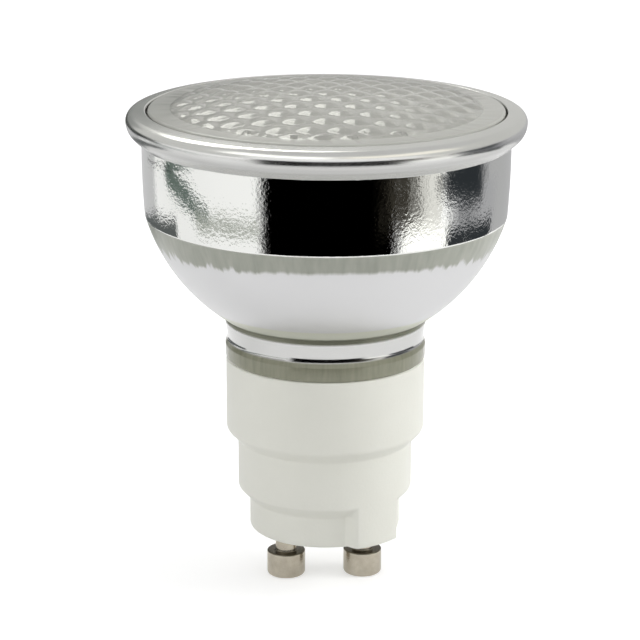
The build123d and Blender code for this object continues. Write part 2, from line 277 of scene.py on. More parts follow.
neck_outline = rounded([
    (NECK_FOOT_RADIUS - NECK_FOOT_LAND, glass_foot, 0),
    (NECK_FOOT_RADIUS, glass_foot, 0.3),
    (NECK_FOOT_RADIUS + NECK_FLARE, waist - NECK_WAIST_FALL, 0.4),
    (NECK_WAIST_RADIUS, waist, 2.0),
    (NECK_TOP_RADIUS, waist + NECK_WAIST_CLIMB, 0.8),
    (NECK_TOP_RADIUS, neck_top, 0),
], steps=8)
belly = sphere_arc(BOWL_RADIUS, bowl_centre, neck_top, crease, BELLY_STEPS)[1:]
wall = []
for step in range(1, WALL_STEPS):
    share = step / WALL_STEPS
    bulge = WALL_BULGE * 4 * share * (1 - share)
    wall.append((crease_radius + WALL_FLARE * share + bulge, crease + WALL_HEIGHT * share, 0))
outside = neck_outline + belly[:-2]
outside += rounded([
    (*belly[-3], 0),
    (crease_radius, crease, CREASE_ROUND),
    *wall,
    (wall_top_radius, wall_top, 0.4),
    (glass_radius, wall_top + FLANGE_RISE, 0.2),
    (glass_radius, glass_top, 0.1),
    (wall_inside, glass_top, 0.1),
    (wall_inside, crease + WALL_INSIDE_RISE, 0),
])[1:]
print("points on the bowl's outside:", len(outside))

# %% Bowl inside, and the closed shell
BOWL_AROUND = 320
FACET_EDGE = 5

inner_radius = BOWL_RADIUS - BOWL_GLASS
lowest = math.asin(NECK_BORE_RADIUS / inner_radius)
highest = math.asin((crease_radius - WALL_GLASS) / inner_radius)
facet_angles = [highest + (lowest - highest) * step / FACET_RINGS for step in range(FACET_RINGS + 1)]
inside = [(inner_radius * math.sin(a), bowl_centre - inner_radius * math.cos(a)) for a in facet_angles]
inside.append((NECK_BORE_RADIUS, glass_foot))


def faceted_bowl(name):
    """One closed glass shell: a turned outside, and an inside of flat facets joined on at the lip."""
    half_facet = math.pi / FACETS_ROUND
    per_facet = BOWL_AROUND // FACETS_ROUND
    points = []
    for number, (radius, height) in enumerate(outside + inside):
        for step in range(BOWL_AROUND):
            turn = (step % per_facet) * 2 * half_facet / per_facet - half_facet
            stretch = math.cos(half_facet) / math.cos(turn) if number >= len(outside) else 1.0
            points.append(polar(radius * stretch, 2 * math.pi * step / BOWL_AROUND, height))
    rings = even_rings(len(outside + inside), BOWL_AROUND)
    mirrored_inside = range((len(outside) - 2) * BOWL_AROUND, (len(rings) - 1) * BOWL_AROUND)
    return add_piece(name, points, join_rings(rings, closed=True), FACET_EDGE, mirrored_inside)


bowl = faceted_bowl("lamp_reflector")
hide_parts("reflector")

# %% [markdown]
# ## The honeycomb lens
#
# The lens is pressed with a field of hexagonal lenslets inside a plain border. Each one is a low cushion of
# glass, and neighbours meet in fine valleys. A displaced grid would blur the valleys, so the top is a sheet
# of points on a lattice in step with the cells, and the valleys fall on edges of the mesh. Each point's
# height is the lens's dome plus its own cell's cushion. A constrained triangulation joins the lattice to the
# round border.

# %% Lens heights
CELL_PITCH = 3.7
CELL_HEIGHT = 0.4
CELL_TURN = math.radians(-5.0)
CELL_FADE = 0.5
LENS_BORDER = 2.8
LENS_STEP_RADIUS = 22.35
LENS_FLANGE_HEIGHT = 1.25
LENS_STEP_HEIGHT = 1.1
LENS_GLASS = 2.0
DOME_RISE = 1.75

lens_border_top = lens_foot + LENS_FLANGE_HEIGHT + LENS_STEP_HEIGHT
honeycomb_radius = LENS_STEP_RADIUS - LENS_BORDER
dome_radius = (honeycomb_radius**2 + DOME_RISE**2) / (2 * DOME_RISE)
dome_centre = lens_border_top + DOME_RISE - dome_radius


def nearest_cell(x, y):
    """Centre of the honeycomb cell that holds a point, in the honeycomb's own turned axes."""
    row_pitch = CELL_PITCH * math.sqrt(3) / 2
    best = None
    for row in (math.floor(y / row_pitch), math.floor(y / row_pitch) + 1):
        column = round(x / CELL_PITCH - row % 2 / 2)
        centre = Vector(((column + row % 2 / 2) * CELL_PITCH, row * row_pitch))
        if best is None or (Vector((x, y)) - centre).length < (Vector((x, y)) - best).length:
            best = centre
    return best


def cushion(x, y):
    """Height of the lenslet over the dome: 1 on its crown and 0 along the valleys."""
    offset = Vector((x, y)) - nearest_cell(x, y)
    sides = [Vector((math.cos(math.radians(turn)), math.sin(math.radians(turn)))) for turn in (0, 60, 120)]
    toward = max(abs(offset.dot(side)) for side in sides) / (CELL_PITCH / 2)
    return 1 - toward**2


def dome_height(radius):
    """Height in mm of the smooth dome under the lenslets."""
    return dome_centre + math.sqrt(dome_radius**2 - radius**2)


def lens_height(x, y):
    """Height in mm of the lens's top at a point of the honeycomb."""
    radius = math.hypot(x, y)
    edge = min(1.0, (honeycomb_radius - radius) / CELL_FADE)
    return dome_height(radius) + CELL_HEIGHT * max(0.0, edge) * cushion(x, y)


print(f"lens border at {lens_border_top:.2f} mm, crown at {lens_height(0, 0):.2f} mm")

# %% Points of the lens
LENS_AROUND = 240
LATTICE = 10


def lattice_points(limit):
    """Points of a triangular lattice in step with the cells, inside a radius."""
    pitch = CELL_PITCH / LATTICE
    row_pitch = pitch * math.sqrt(3) / 2
    count = int(limit / row_pitch) + 2
    points = []
    for row in range(-count, count + 1):
        for column in range(-count - 1, count + 2):
            x, y = (column + row % 2 / 2) * pitch, row * row_pitch
            if math.hypot(x, y) < limit - pitch / 2:
                points.append(Vector((x, y)))
    return points


def circle_points(radius, height):
    """The points of one ring of the lens."""
    return [polar(radius, 2 * math.pi * step / LENS_AROUND, height) for step in range(LENS_AROUND)]


print("lattice points in the honeycomb:", len(lattice_points(honeycomb_radius)))

# %% Lens mesh
EDGE_STEPS = 4
EDGE_CORNERS_SEEN = 4
UNDER_STEPS = 12
NEARLY_SAME = 1e-5
LENS_CRISP_EDGE = 40

lens_step_top = lens_foot + LENS_FLANGE_HEIGHT
lens_edge = rounded([
    (honeycomb_radius, lens_border_top, 0),
    (LENS_STEP_RADIUS, lens_border_top, 0.35),
    (LENS_STEP_RADIUS, lens_step_top, 0.15),
    (lens_radius, lens_step_top, 0.1),
    (lens_radius, lens_foot, 0.1),
    (honeycomb_radius, lens_foot, 0.2),
    (honeycomb_radius, lens_border_top - LENS_GLASS, 0),
], steps=EDGE_STEPS)[1:]
for step in range(1, UNDER_STEPS):
    radius = honeycomb_radius * (1 - step / UNDER_STEPS)
    lens_edge.append((radius, dome_height(radius) - LENS_GLASS))


def honeycomb_lens(name):
    """The closed lens: honeycomb sheet, border, stepped edge and smooth underside."""
    border = [Vector(p[:2]) for p in circle_points(honeycomb_radius, 0.0)]
    loop = [(step, (step + 1) % LENS_AROUND) for step in range(LENS_AROUND)]
    # An output type of 1 keeps only the triangles inside the loop
    sheet = geometry.delaunay_2d_cdt(border + lattice_points(honeycomb_radius), loop, [], 1, NEARLY_SAME)
    points = [(p.x, p.y, lens_height(p.x, p.y)) for p in sheet[0]]
    faces = [list(face) for face in sheet[2]]
    honeycomb_faces = len(faces)
    rings = [[sheet[3].index([k]) if [k] in sheet[3] else k for k in range(LENS_AROUND)]]
    for radius, height in lens_edge:
        rings.append(range(len(points), len(points) + LENS_AROUND))
        points += circle_points(radius, height)
    rings.append([len(points)])
    points.append((0, 0, lens_crown - CELL_HEIGHT - LENS_GLASS))
    faces += join_rings(rings)
    edge_end = honeycomb_faces + EDGE_CORNERS_SEEN * (EDGE_STEPS + 1) * LENS_AROUND
    piece = add_piece(name, points, faces, LENS_CRISP_EDGE, range(honeycomb_faces, edge_end))
    piece.data.transform(Matrix.Rotation(CELL_TURN, 4, "Z"))
    return piece


lens = honeycomb_lens("lamp_lens")
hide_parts("front_lens")

# %% [markdown]
# ## The ceramic base
#
# The base is pressed steatite with three tiers, each joined to the next by a slope. Two lugs carry the middle
# tier's width down beside the pins, and they key the lamp into its holder. Booleans could cut the lugs, but
# they leave sharp seams. So the outside is a grid of angle against height, and in the lowest tier the radius
# depends on the angle. That draws the lugs with the same soft edges as the rest.

# %% Base sizes
PIN_TIER_RADIUS = 9.7
PIN_TIER_TOP = 4.1
MIDDLE_TIER_RADIUS = 11.2
MIDDLE_TIER_HEIGHT = 6.4
BASE_HEIGHT = 23.0
BASE_BORE_RADIUS = 7.6
KEY_START = 2.1
KEY_WIDTH = 6.7
KEY_RAMP = 1.5
KEY_CLEARANCE = 0.2

tier_step = MIDDLE_TIER_RADIUS - PIN_TIER_RADIUS
middle_foot = PIN_TIER_TOP + tier_step
middle_top = middle_foot + MIDDLE_TIER_HEIGHT
neck_tier_foot = middle_top + base_radius - MIDDLE_TIER_RADIUS
tiers = rounded([
    (PIN_TIER_RADIUS, 0, 0),
    (PIN_TIER_RADIUS, PIN_TIER_TOP, 0.5),
    (MIDDLE_TIER_RADIUS, middle_foot, 0.7),
    (MIDDLE_TIER_RADIUS, middle_top, 0.5),
    (base_radius, neck_tier_foot, 0.9),
    (base_radius, BASE_HEIGHT, 0.35),
    (BASE_BORE_RADIUS, BASE_HEIGHT, 0),
])
print(f"tiers start at {middle_foot:.2f} and {neck_tier_foot:.2f} mm over the base's foot")

# %% Lugs
BASE_AROUND = 360
NUDGES = (-0.12, -0.05, 0.05, 0.12)


def lug_share(angle):
    """How far a lug stands out at an angle: 0 on the bare tier, 1 on the lug, with soft ends on its ramp."""
    x = abs(MIDDLE_TIER_RADIUS * math.cos(angle))
    right_way = math.cos(angle) * math.sin(angle) < 0
    if not right_way or x < KEY_START or x > KEY_START + KEY_WIDTH:
        return 0.0
    share = min(1.0, (x - KEY_START) / KEY_RAMP)
    return share * share * (3 - 2 * share)


def base_angles():
    """Even steps round the base, with close pairs of steps at the lugs' two sides."""
    angles = {round(2 * math.pi * step / BASE_AROUND, 6) for step in range(BASE_AROUND)}
    for x in (KEY_START, KEY_START + KEY_RAMP, KEY_START + KEY_WIDTH):
        for nudge in NUDGES:
            turn = math.acos((x + nudge) / MIDDLE_TIER_RADIUS)
            angles |= {round(a, 6) for a in (2 * math.pi - turn, math.pi - turn)}
    return sorted(angles)


print("steps round the base:", len(base_angles()))

# %% Base mesh
BASE_BEVEL = 0.45
BEVEL_LEVELS = (0.0, 0.03, 0.1, 0.22, BASE_BEVEL)
PIN_TIER_STEPS = 8
UNDERSIDE_RADII = (0.5, 4.0, PIN_TIER_RADIUS - BASE_BEVEL)
BASE_CRISP_EDGE = 40


def base_rings(angles):
    """Radius and level of every point, ring by ring, from the middle of the underside up to the bore."""
    rings = [[(radius, 0.0)] * len(angles) for radius in UNDERSIDE_RADII]
    climb = (PIN_TIER_TOP - BASE_BEVEL) / PIN_TIER_STEPS
    levels = [*BEVEL_LEVELS, *(BASE_BEVEL + climb * step for step in range(1, PIN_TIER_STEPS))]
    shares = [lug_share(angle) for angle in angles]
    for level in levels:
        inset = BASE_BEVEL - math.sqrt(max(0.0, BASE_BEVEL**2 - max(0.0, BASE_BEVEL - level)**2))
        lug = tier_step if level > KEY_CLEARANCE else 0.0
        rings.append([(PIN_TIER_RADIUS + lug * share - inset, level) for share in shares])
    for radius, level in tiers[1:]:
        rings.append([(max(radius, PIN_TIER_RADIUS + tier_step * share), level) for share in shares])
    return rings


angles = base_angles()
points = []
for ring in base_rings(angles):
    points += [polar(radius, angle, base_foot + level) for angle, (radius, level) in zip(angles, ring)]
rings = even_rings(len(points) // len(angles), len(angles))
base = add_piece("lamp_base", points, join_rings(rings) + [list(rings[0])], BASE_CRISP_EDGE)
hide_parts("ceramic_base")

# %% [markdown]
# ## The contact pins
#
# Each pin is turned from a bar: a thick head that the holder's spring grips, and a thin stem above it. The
# CAD pin has the right size and a rounded foot, but the head's upper rim and the stem's corner are sharp. So
# the outline is turned again here, with small rounds there too, where the light catches.

# %% Pins
PIN_HEAD_HEIGHT = 3.3
PIN_FOOT_ROUND = 0.45
PIN_HEAD_ROUND = 0.16
PIN_STEM_RADIUS = 1.4
PIN_STEM_ROUND = 0.12
PIN_PART_INSIDE = 1.5
PIN_AROUND = 96

head_top = pin_foot + PIN_HEAD_HEIGHT
stem_top = base_foot + PIN_PART_INSIDE
pin_outline = rounded([
    (0, pin_foot, 0),
    (pin_radius, pin_foot, PIN_FOOT_ROUND),
    (pin_radius, head_top, PIN_HEAD_ROUND),
    (PIN_STEM_RADIUS, head_top, PIN_STEM_ROUND),
    (PIN_STEM_RADIUS, stem_top, 0),
    (0, stem_top, 0),
])
pins = {}
for side in ("left", "right"):
    low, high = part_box(f"contact_pin_{side}")
    axis_x = (low.x + high.x) / 2
    pin = lathe(f"lamp_pin_{side}", pin_outline, PIN_AROUND, axis_x=axis_x / MM)
    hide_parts(f"contact_pin_{side}", f"pin_solder_{side}")
    pins[pin] = axis_x

# %% [markdown]
# ## Node helpers
#
# A material could be wired by hand in the editor, node by node. In a script the wiring is easier to read as
# sums, so each helper here adds one node, feeds it, and gives back its output.

# %% Node helpers
def feed(tree, socket, value):
    """Set a socket to a plain value or a colour, or link another node's output to it."""
    if isinstance(value, (int, float)):
        socket.default_value = value
    elif isinstance(value, tuple):
        socket.default_value = (*value, 1.0)
    else:
        tree.links.new(value, socket)


def maths(tree, operation, *values):
    """A Math node's output."""
    node = tree.nodes.new("ShaderNodeMath")
    node.operation = operation
    for socket, value in zip(node.inputs, values):
        feed(tree, socket, value)
    return node.outputs[0]


def noise_of(tree, vector, scale, detail=3.0, roughness=0.5):
    """A Noise Texture's value, at a vector and a scale."""
    node = tree.nodes.new("ShaderNodeTexNoise")
    for label, value in (("Vector", vector), ("Scale", scale), ("Detail", detail), ("Roughness", roughness)):
        feed(tree, node.inputs[label], value)
    return node.outputs["Fac"]


def blend_colours(tree, share, first, second):
    """A colour between two, by a share."""
    node = tree.nodes.new("ShaderNodeMix")
    node.data_type = "RGBA"
    for number, value in ((0, share), (6, first), (7, second)):
        feed(tree, node.inputs[number], value)
    return node.outputs[2]


def blend_values(tree, share, first, second):
    """A value between two, by a share."""
    difference = maths(tree, "SUBTRACT", second, first)
    return maths(tree, "MULTIPLY_ADD", share, difference, first)


def split_xyz(tree, vector):
    """The three parts of a vector."""
    node = tree.nodes.new("ShaderNodeSeparateXYZ")
    tree.links.new(vector, node.inputs[0])
    return node.outputs


def join_xyz(tree, *parts):
    """A vector from up to three parts."""
    node = tree.nodes.new("ShaderNodeCombineXYZ")
    for socket, part in zip(node.inputs, parts):
        feed(tree, socket, part)
    return node.outputs[0]


def radius_of(tree, x, y):
    """Distance from an upright axis."""
    squares = [maths(tree, "MULTIPLY", side, side) for side in (x, y)]
    return maths(tree, "SQRT", maths(tree, "ADD", *squares))


def own_place(tree):
    """The piece's own coordinates."""
    return tree.nodes.new("ShaderNodeTexCoord").outputs["Object"]


# %% [markdown]
# ## Shared effects
#
# An effect that serves several materials is a node group with named inputs, so that it is built once and
# each material only gives its own values. Four effects do that: a mottle between two tones with a grain, a
# stipple of tiny dents, fine lines left by turning or rolling, and a mask above a height. The upright streaks
# serve the mirror alone, but read best in the same form. The shader itself stays in each material.

# %% Group helpers
COLOUR, FLOAT, VECTOR = "NodeSocketColor", "NodeSocketFloat", "NodeSocketVector"


def new_group(name, values, outputs, colours=(), vectors=("Vector",)):
    """An empty node group: its tree, what it is given, and where its outputs go.

    The values are float inputs with their defaults, and the outputs are names with their kinds."""
    group = bpy.data.node_groups.new(name, "ShaderNodeTree")
    kinds = dict.fromkeys(vectors, VECTOR) | dict.fromkeys(colours, COLOUR) | dict.fromkeys(values, FLOAT)
    for label, kind in kinds.items():
        socket = group.interface.new_socket(name=label, in_out="INPUT", socket_type=kind)
        if label in values:
            socket.default_value = values[label]
    for label, kind in outputs.items():
        group.interface.new_socket(name=label, in_out="OUTPUT", socket_type=kind)
    entry = group.nodes.new("NodeGroupInput")
    leave = group.nodes.new("NodeGroupOutput")
    return group, entry.outputs, leave.inputs


def place_group(tree, group, **values):
    """Put a group into a material, fed with the piece's own coordinates and its own values."""
    node = tree.nodes.new("ShaderNodeGroup")
    node.node_tree = group
    tree.links.new(own_place(tree), node.inputs["Vector"])
    for label, value in values.items():
        feed(tree, node.inputs[label.replace("_", " ")], value)
    return node.outputs


# %% Mottle and stipple
STIPPLE_PATCHES = 120.0
PATCH_GAIN = 1.6
PATCH_SOFTNESS = 0.2


def make_mottle():
    """Soft clouds between two tones, with the clouds' own share, and a finer grain."""
    values = {"Scale": 100.0, "Detail": 3.0, "Grain Scale": 800.0, "Grain Detail": 3.0}
    outputs = {"Tone": COLOUR, "Clouds": FLOAT, "Grain": FLOAT}
    group, given, out = new_group("mottle", values, outputs, colours=("Dark", "Light"))
    clouds = noise_of(group, given["Vector"], given["Scale"], given["Detail"])
    feed(group, out["Clouds"], clouds)
    feed(group, out["Tone"], blend_colours(group, clouds, given["Dark"], given["Light"]))
    feed(group, out["Grain"], noise_of(group, given["Vector"], given["Grain Scale"], given["Grain Detail"]))
    return group


def make_stipple():
    """Tiny dents in a pressed or filmed surface, deeper in some patches than in others."""
    group, given, out = new_group("stipple", {"Scale": 2500.0}, {"Height": FLOAT})
    dents = noise_of(group, given["Vector"], given["Scale"], 2.0, 0.6)
    patches = maths(group, "MULTIPLY", noise_of(group, given["Vector"], STIPPLE_PATCHES, 2.0), PATCH_GAIN)
    share = maths(group, "SMOOTH_MIN", patches, 1.0, PATCH_SOFTNESS)
    feed(group, out["Height"], maths(group, "MULTIPLY", dents, share))
    return group


mottle, stipple = make_mottle(), make_stipple()

# %% Turning lines, streaks and height mask
STREAK_DRIFT = 12.0


def make_turning():
    """Fine rings about an upright axis, as a tool or a roller leaves them."""
    values = {"Axis X": 0.0, "Fineness": 9000.0}
    group, given, out = new_group("turning_lines", values, {"Lines": FLOAT})
    x, y, z = split_xyz(group, given["Vector"])
    radius = radius_of(group, maths(group, "SUBTRACT", x, given["Axis X"]), y)
    feed(group, out["Lines"], noise_of(group, join_xyz(group, radius, z), given["Fineness"], 3.0, 0.6))
    return group


def make_streaks():
    """Upright streaks round the lamp's axis, from 0 to 1, that drift a little with height."""
    group, given, out = new_group("upright_streaks", {"Fineness": 14.0}, {"Streaks": FLOAT})
    x, y, z = split_xyz(group, given["Vector"])
    radius = radius_of(group, x, y)
    around = [maths(group, "DIVIDE", side, radius) for side in (x, y)]
    place = join_xyz(group, *around, maths(group, "MULTIPLY", z, STREAK_DRIFT))
    feed(group, out["Streaks"], noise_of(group, place, given["Fineness"], 2.0))
    return group


def make_height_mask():
    """1 above one height and 0 below it, with a soft edge."""
    group, given, out = new_group("height_mask", {"Height": 0.0, "Softness": 0.0002}, {"Mask": FLOAT})
    above = maths(group, "SUBTRACT", split_xyz(group, given["Vector"])[2], given["Height"])
    mask = maths(group, "ADD", maths(group, "DIVIDE", above, given["Softness"]), 0.5)
    mask.node.use_clamp = True
    feed(group, out["Mask"], mask)
    return group


turning_lines, upright_streaks, height_mask = make_turning(), make_streaks(), make_height_mask()
print("shared effects:", sorted(group.name for group in bpy.data.node_groups))

# %% [markdown]
# ## Starting a material
#
# Every finish here is one Principled shader. What is the same all over the surface is set on its sockets, and
# only what changes over the surface reaches it through nodes. Small heights go through a Bump node.

# %% Material helpers
def new_material(name, **settings):
    """A material whose Principled shader has these plain values."""
    made = bpy.data.materials.new(name)
    made.use_nodes = True
    tree = made.node_tree
    shader = tree.nodes["Principled BSDF"]
    for label, value in settings.items():
        feed(tree, shader.inputs[label.replace("_", " ")], value)
    return tree, shader, made


def bump(tree, shader, height, depth):
    """Send a height to the shader's normal through a Bump node. The depth is in mm."""
    node = tree.nodes.new("ShaderNodeBump")
    feed(tree, node.inputs["Strength"], 1.0)
    feed(tree, node.inputs["Distance"], depth * MM)
    feed(tree, node.inputs["Height"], height)
    feed(tree, shader.inputs["Normal"], node.outputs[0])


# %% [markdown]
# ## The mirror
#
# The bright film makes the bowl a mirror with a very fine stipple, so the edges of what it reflects break up
# into specks. The wall is polished, and the belly and the neck are duller. A green-grey band with a frayed
# edge under the crease is a painted reflection, and so are the dark and light olive rings at the top of the
# neck. The neck's foot is olive with streaks. The zones could be pieces of their own, but film and glass are
# one smooth surface, so one material changes by height.

# %% Mirror tones and zones
FILM_WALL = (0.77, 0.775, 0.75)
FILM_BELLY = (0.65, 0.65, 0.655)
FILM_NECK = (0.57, 0.57, 0.56)
# Painted reflections: the light olive ring on the ridge and the dark olive ring on the collar
RIDGE_PAINTED_REFLECTION = (0.60, 0.61, 0.51)
COLLAR_PAINTED_REFLECTION = (0.17, 0.175, 0.125)
# Painted reflection: the streaked olive band under the crease
BAND_PAINTED_REFLECTION_TONES = ((0.28, 0.295, 0.25), (0.46, 0.47, 0.41))
FOOT_TONES = ((0.19, 0.195, 0.135), (0.31, 0.31, 0.23))

# Each zone of the outside, from the foot up: lowest height, soft edge, colour, metallic share and roughness
FILM_ZONES = [
    (glass_foot, 0.0, "foot", 0.1, 0.15),
    (glass_foot + 2.45, 0.2, FILM_NECK, 1.0, 0.12),
    # Painted reflections: the collar's dark ring and the ridge's light ring
    (neck_top - 0.56, 0.3, COLLAR_PAINTED_REFLECTION, 0.1, 0.3),
    (neck_top + 0.29, 0.25, RIDGE_PAINTED_REFLECTION, 0.1, 0.35),
    (neck_top + 1.74, 0.25, FILM_BELLY, 0.9, 0.38),
    # Painted reflection: the band under the crease
    (crease - 2.336, 0.5, "band", 0.1, 0.30),
    (crease - 0.136, 0.12, FILM_WALL, 1.0, 0.04),
]
print("film zones start at", [round(zone[0], 2) for zone in FILM_ZONES], "mm")

# %% Outside of the bowl
STREAK_FINENESS = 26.0
STREAKS_FRONT = 0.5
STREAKS_SIDE = 5.0
STREAKS_FALL = 1.4
WALL_STIPPLE = 2300.0
WALL_DENTS = 0.021


def streak_reach(tree, streaks):
    """How far the band's lower edge strays from its height, in metres: most on the lamp's two sides."""
    share = maths(tree, "DIVIDE", split_xyz(tree, own_place(tree))[0], crease_radius * MM)
    side = maths(tree, "MULTIPLY", share, share)
    stray = maths(tree, "MULTIPLY_ADD", side, STREAKS_SIDE * MM, STREAKS_FRONT * MM)
    fall = maths(tree, "MULTIPLY", side, -STREAKS_FALL * MM)
    return maths(tree, "MULTIPLY_ADD", maths(tree, "SUBTRACT", streaks, 0.5), stray, fall)


def mirror_film():
    """Metal film, an olive foot, and painted reflections on collar, ridge and band, in zones of height up the
    bowl.
    """
    tree, shader, made = new_material("mirror_film")
    streaks = place_group(tree, upright_streaks, Fineness=STREAK_FINENESS)["Streaks"]
    tones = {
        "foot": blend_colours(tree, streaks, *FOOT_TONES),
        # The band's streaked tone is a painted reflection
        "band": blend_colours(tree, streaks, *BAND_PAINTED_REFLECTION_TONES),
    }
    tone, metallic, roughness = tones["foot"], *FILM_ZONES[0][3:]
    for height, softness, colour, zone_metallic, zone_roughness in FILM_ZONES[1:]:
        edge = height * MM
        if colour == "band":
            edge = maths(tree, "ADD", streak_reach(tree, streaks), edge)
        mask = place_group(tree, height_mask, Softness=softness * MM, Height=edge)["Mask"]
        tone = blend_colours(tree, mask, tone, tones.get(colour, colour))
        metallic = blend_values(tree, mask, metallic, zone_metallic)
        roughness = blend_values(tree, mask, roughness, zone_roughness)
    feed(tree, shader.inputs["Base Color"], tone)
    feed(tree, shader.inputs["Metallic"], metallic)
    feed(tree, shader.inputs["Roughness"], roughness)
    dents = place_group(tree, stipple, Scale=WALL_STIPPLE)["Height"]
    bump(tree, shader, maths(tree, "MULTIPLY", dents, mask), WALL_DENTS)
    return made


# %% Facets inside the bowl
FACET_MOTTLE = {"Scale": 60.0, "Dark": (0.74, 0.75, 0.72), "Light": (0.86, 0.86, 0.84)}
FACET_STIPPLE = 1200.0
FACET_DENTS = 0.03


def mirror_facets():
    """Polished film on the pressed facets."""
    tree, shader, made = new_material("mirror_facets", Metallic=1.0, Roughness=0.12)
    feed(tree, shader.inputs["Base Color"], place_group(tree, mottle, **FACET_MOTTLE)["Tone"])
    bump(tree, shader, place_group(tree, stipple, Scale=FACET_STIPPLE)["Height"], FACET_DENTS)
    return made


for finish in (mirror_film(), mirror_facets()):
    bowl.data.materials.append(finish)
print("mirror materials:", [m.name for m in bowl.data.materials])

# %% [markdown]
# ## Aluminium and nickel
#
# The rim keeps the satin of rolled sheet, with fine lines along it, and its side is painted in a darker tone
# than its rolled top, as painted shade. The pins are turned brass under nickel, warmer and a little duller,
# with painted shade on the faces that look up. Anisotropy could stretch the highlights too, but real lines in
# the bump also break them up.

# %% Rim aluminium
# Painted shade: the darker tone of the rim's side, below its rolled top
RIM_SIDE_PAINTED_SHADE = (0.48, 0.48, 0.47)
RIM_TOP_MOTTLE = {"Scale": 150.0, "Dark": (0.78, 0.78, 0.76), "Light": (0.86, 0.86, 0.85)}
RIM_SIDE_TOP = 2.1
RIM_SIDE_SOFTNESS = 1.4
RIM_FINENESS = 5000.0
RIM_LINES = 0.008

# What the clouds add to the rim's roughness, and the least that it is
RIM_ROUGHNESS = (0.10, 0.17)


def rim_aluminium():
    """Satin rolled sheet."""
    tree, shader, made = new_material("rim_aluminium", Metallic=1.0)
    clouds = place_group(tree, mottle, **RIM_TOP_MOTTLE)
    side_top = (rim_edge + RIM_SIDE_TOP) * MM
    top = place_group(tree, height_mask, Height=side_top, Softness=RIM_SIDE_SOFTNESS * MM)["Mask"]
    # Painted shade: below the mask's height the side takes the darker tone
    feed(tree, shader.inputs["Base Color"], blend_colours(tree, top, RIM_SIDE_PAINTED_SHADE, clouds["Tone"]))
    feed(tree, shader.inputs["Roughness"], maths(tree, "MULTIPLY_ADD", clouds["Clouds"], *RIM_ROUGHNESS))
    bump(tree, shader, place_group(tree, turning_lines, Fineness=RIM_FINENESS)["Lines"], RIM_LINES)
    return made


rim.data.materials.append(rim_aluminium())

# %% Pin nickel
PIN_MOTTLE = {"Scale": 700.0, "Dark": (0.34, 0.30, 0.235), "Light": (0.62, 0.575, 0.485)}
# Painted shade: the dark tone that faces looking up blend towards
PIN_PAINTED_SHADE = (0.09, 0.075, 0.05)
PIN_FINENESS = 7000.0
PIN_LINES = 0.01

# What the lines add to a pin's roughness, and the least that it is
PIN_ROUGHNESS = (0.12, 0.13)


def pin_nickel(axis_x):
    """Turned and plated brass, with rings about the pin's own axis."""
    tree, shader, made = new_material("pin_nickel", Metallic=1.0)
    lines = place_group(tree, turning_lines, Axis_X=axis_x, Fineness=PIN_FINENESS)["Lines"]
    plating = place_group(tree, mottle, **PIN_MOTTLE)["Tone"]
    # Painted shade: the more a face looks up, the more it takes the dark tone
    upward = split_xyz(tree, tree.nodes.new("ShaderNodeNewGeometry").outputs["Normal"])[2]
    feed(tree, shader.inputs["Base Color"], blend_colours(tree, upward, plating, PIN_PAINTED_SHADE))
    feed(tree, shader.inputs["Roughness"], maths(tree, "MULTIPLY_ADD", lines, *PIN_ROUGHNESS))
    bump(tree, shader, lines, PIN_LINES)
    return made


for pin, axis_x in pins.items():
    pin.data.materials.append(pin_nickel(axis_x))
print("metals:", [piece.data.materials[0].name for piece in (rim, *pins)])

# %% [markdown]
# ## Glass and ceramic
#
# The lens is pressed glass with a faint green body colour. It is slightly milky, so only part of it is
# transmission. The base is unglazed steatite: off-white, matt, with a slight mottle and a fine grain. A plain
# colour would do from afar, but up close a fired or pressed surface is never even.

# %% Lens glass and steatite
GRAIN_DEPTH = 0.02
GLASS_IOR = 1.5
LENS_TONES = ((0.84, 0.84, 0.79), (0.93, 0.93, 0.88))
BORDER_TONES = ((0.50, 0.50, 0.46), (0.60, 0.60, 0.56))
CERAMIC_TONES = ((0.80, 0.80, 0.725), (0.86, 0.86, 0.79))


def mottled(name, tones, clouds, grain=(0.0, 0.0), grain_depth=GRAIN_DEPTH, **settings):
    """A finish with a mottle between two tones, and a grain in its bump unless that has a scale of 0.

    Clouds and grain are each a scale and a detail."""
    tree, shader, made = new_material(name, **settings)
    finish = place_group(tree, mottle, Dark=tones[0], Light=tones[1], Scale=clouds[0], Detail=clouds[1],
                         Grain_Scale=grain[0], Grain_Detail=grain[1])
    feed(tree, shader.inputs["Base Color"], finish["Tone"])
    if grain[0]:
        bump(tree, shader, finish["Grain"], grain_depth)
    return made


def lens_glass():
    """Pressed glass of the honeycomb, slightly uneven and faintly milky."""
    return mottled("lens_glass", LENS_TONES, (90.0, 3.0), (800.0, 2.0),
                   Transmission_Weight=0.72, IOR=GLASS_IOR, Roughness=0.08)


def lens_border_glass():
    """The smooth border, over the pale seal."""
    return mottled("lens_border_glass", BORDER_TONES, (120.0, 3.0), (600.0, 2.0), GRAIN_DEPTH / 2,
                   Transmission_Weight=0.25, IOR=GLASS_IOR, Roughness=0.18)


def steatite():
    """Pressed and fired ceramic."""
    return mottled("steatite", CERAMIC_TONES, (140.0, 4.0), (2500.0, 3.0), Roughness=0.42)


for piece, finish in ((lens, lens_glass()), (lens, lens_border_glass()), (base, steatite())):
    piece.data.materials.append(finish)
    print(f"{piece.name}: {finish.name}")

# %% [markdown]
# ## What is inside
#
# The capsule, arc tube, wires and foils show dimly through the lens. Their CAD meshes are fine enough for
# that, so they stay, and each gets the finish of its real material.

# %% Inner materials
GRAIN_FINENESS = 6
QUARTZ_TONES = ((0.93, 0.93, 0.93), (0.99, 0.99, 0.99))


def quartz():
    """Clear fused quartz, with no grain."""
    return mottled("quartz", QUARTZ_TONES, (300.0, 3.0), Transmission_Weight=1.0, IOR=1.46, Roughness=0.02)


def inner(name, dark, light, scale, **settings):
    """A mottled finish between two tones, with a grain that is finer than the mottle."""
    return mottled(name, (dark, light), (scale, 4.0), (scale * GRAIN_FINENESS, 3.0), **settings)


METAL = {"Metallic": 1.0}

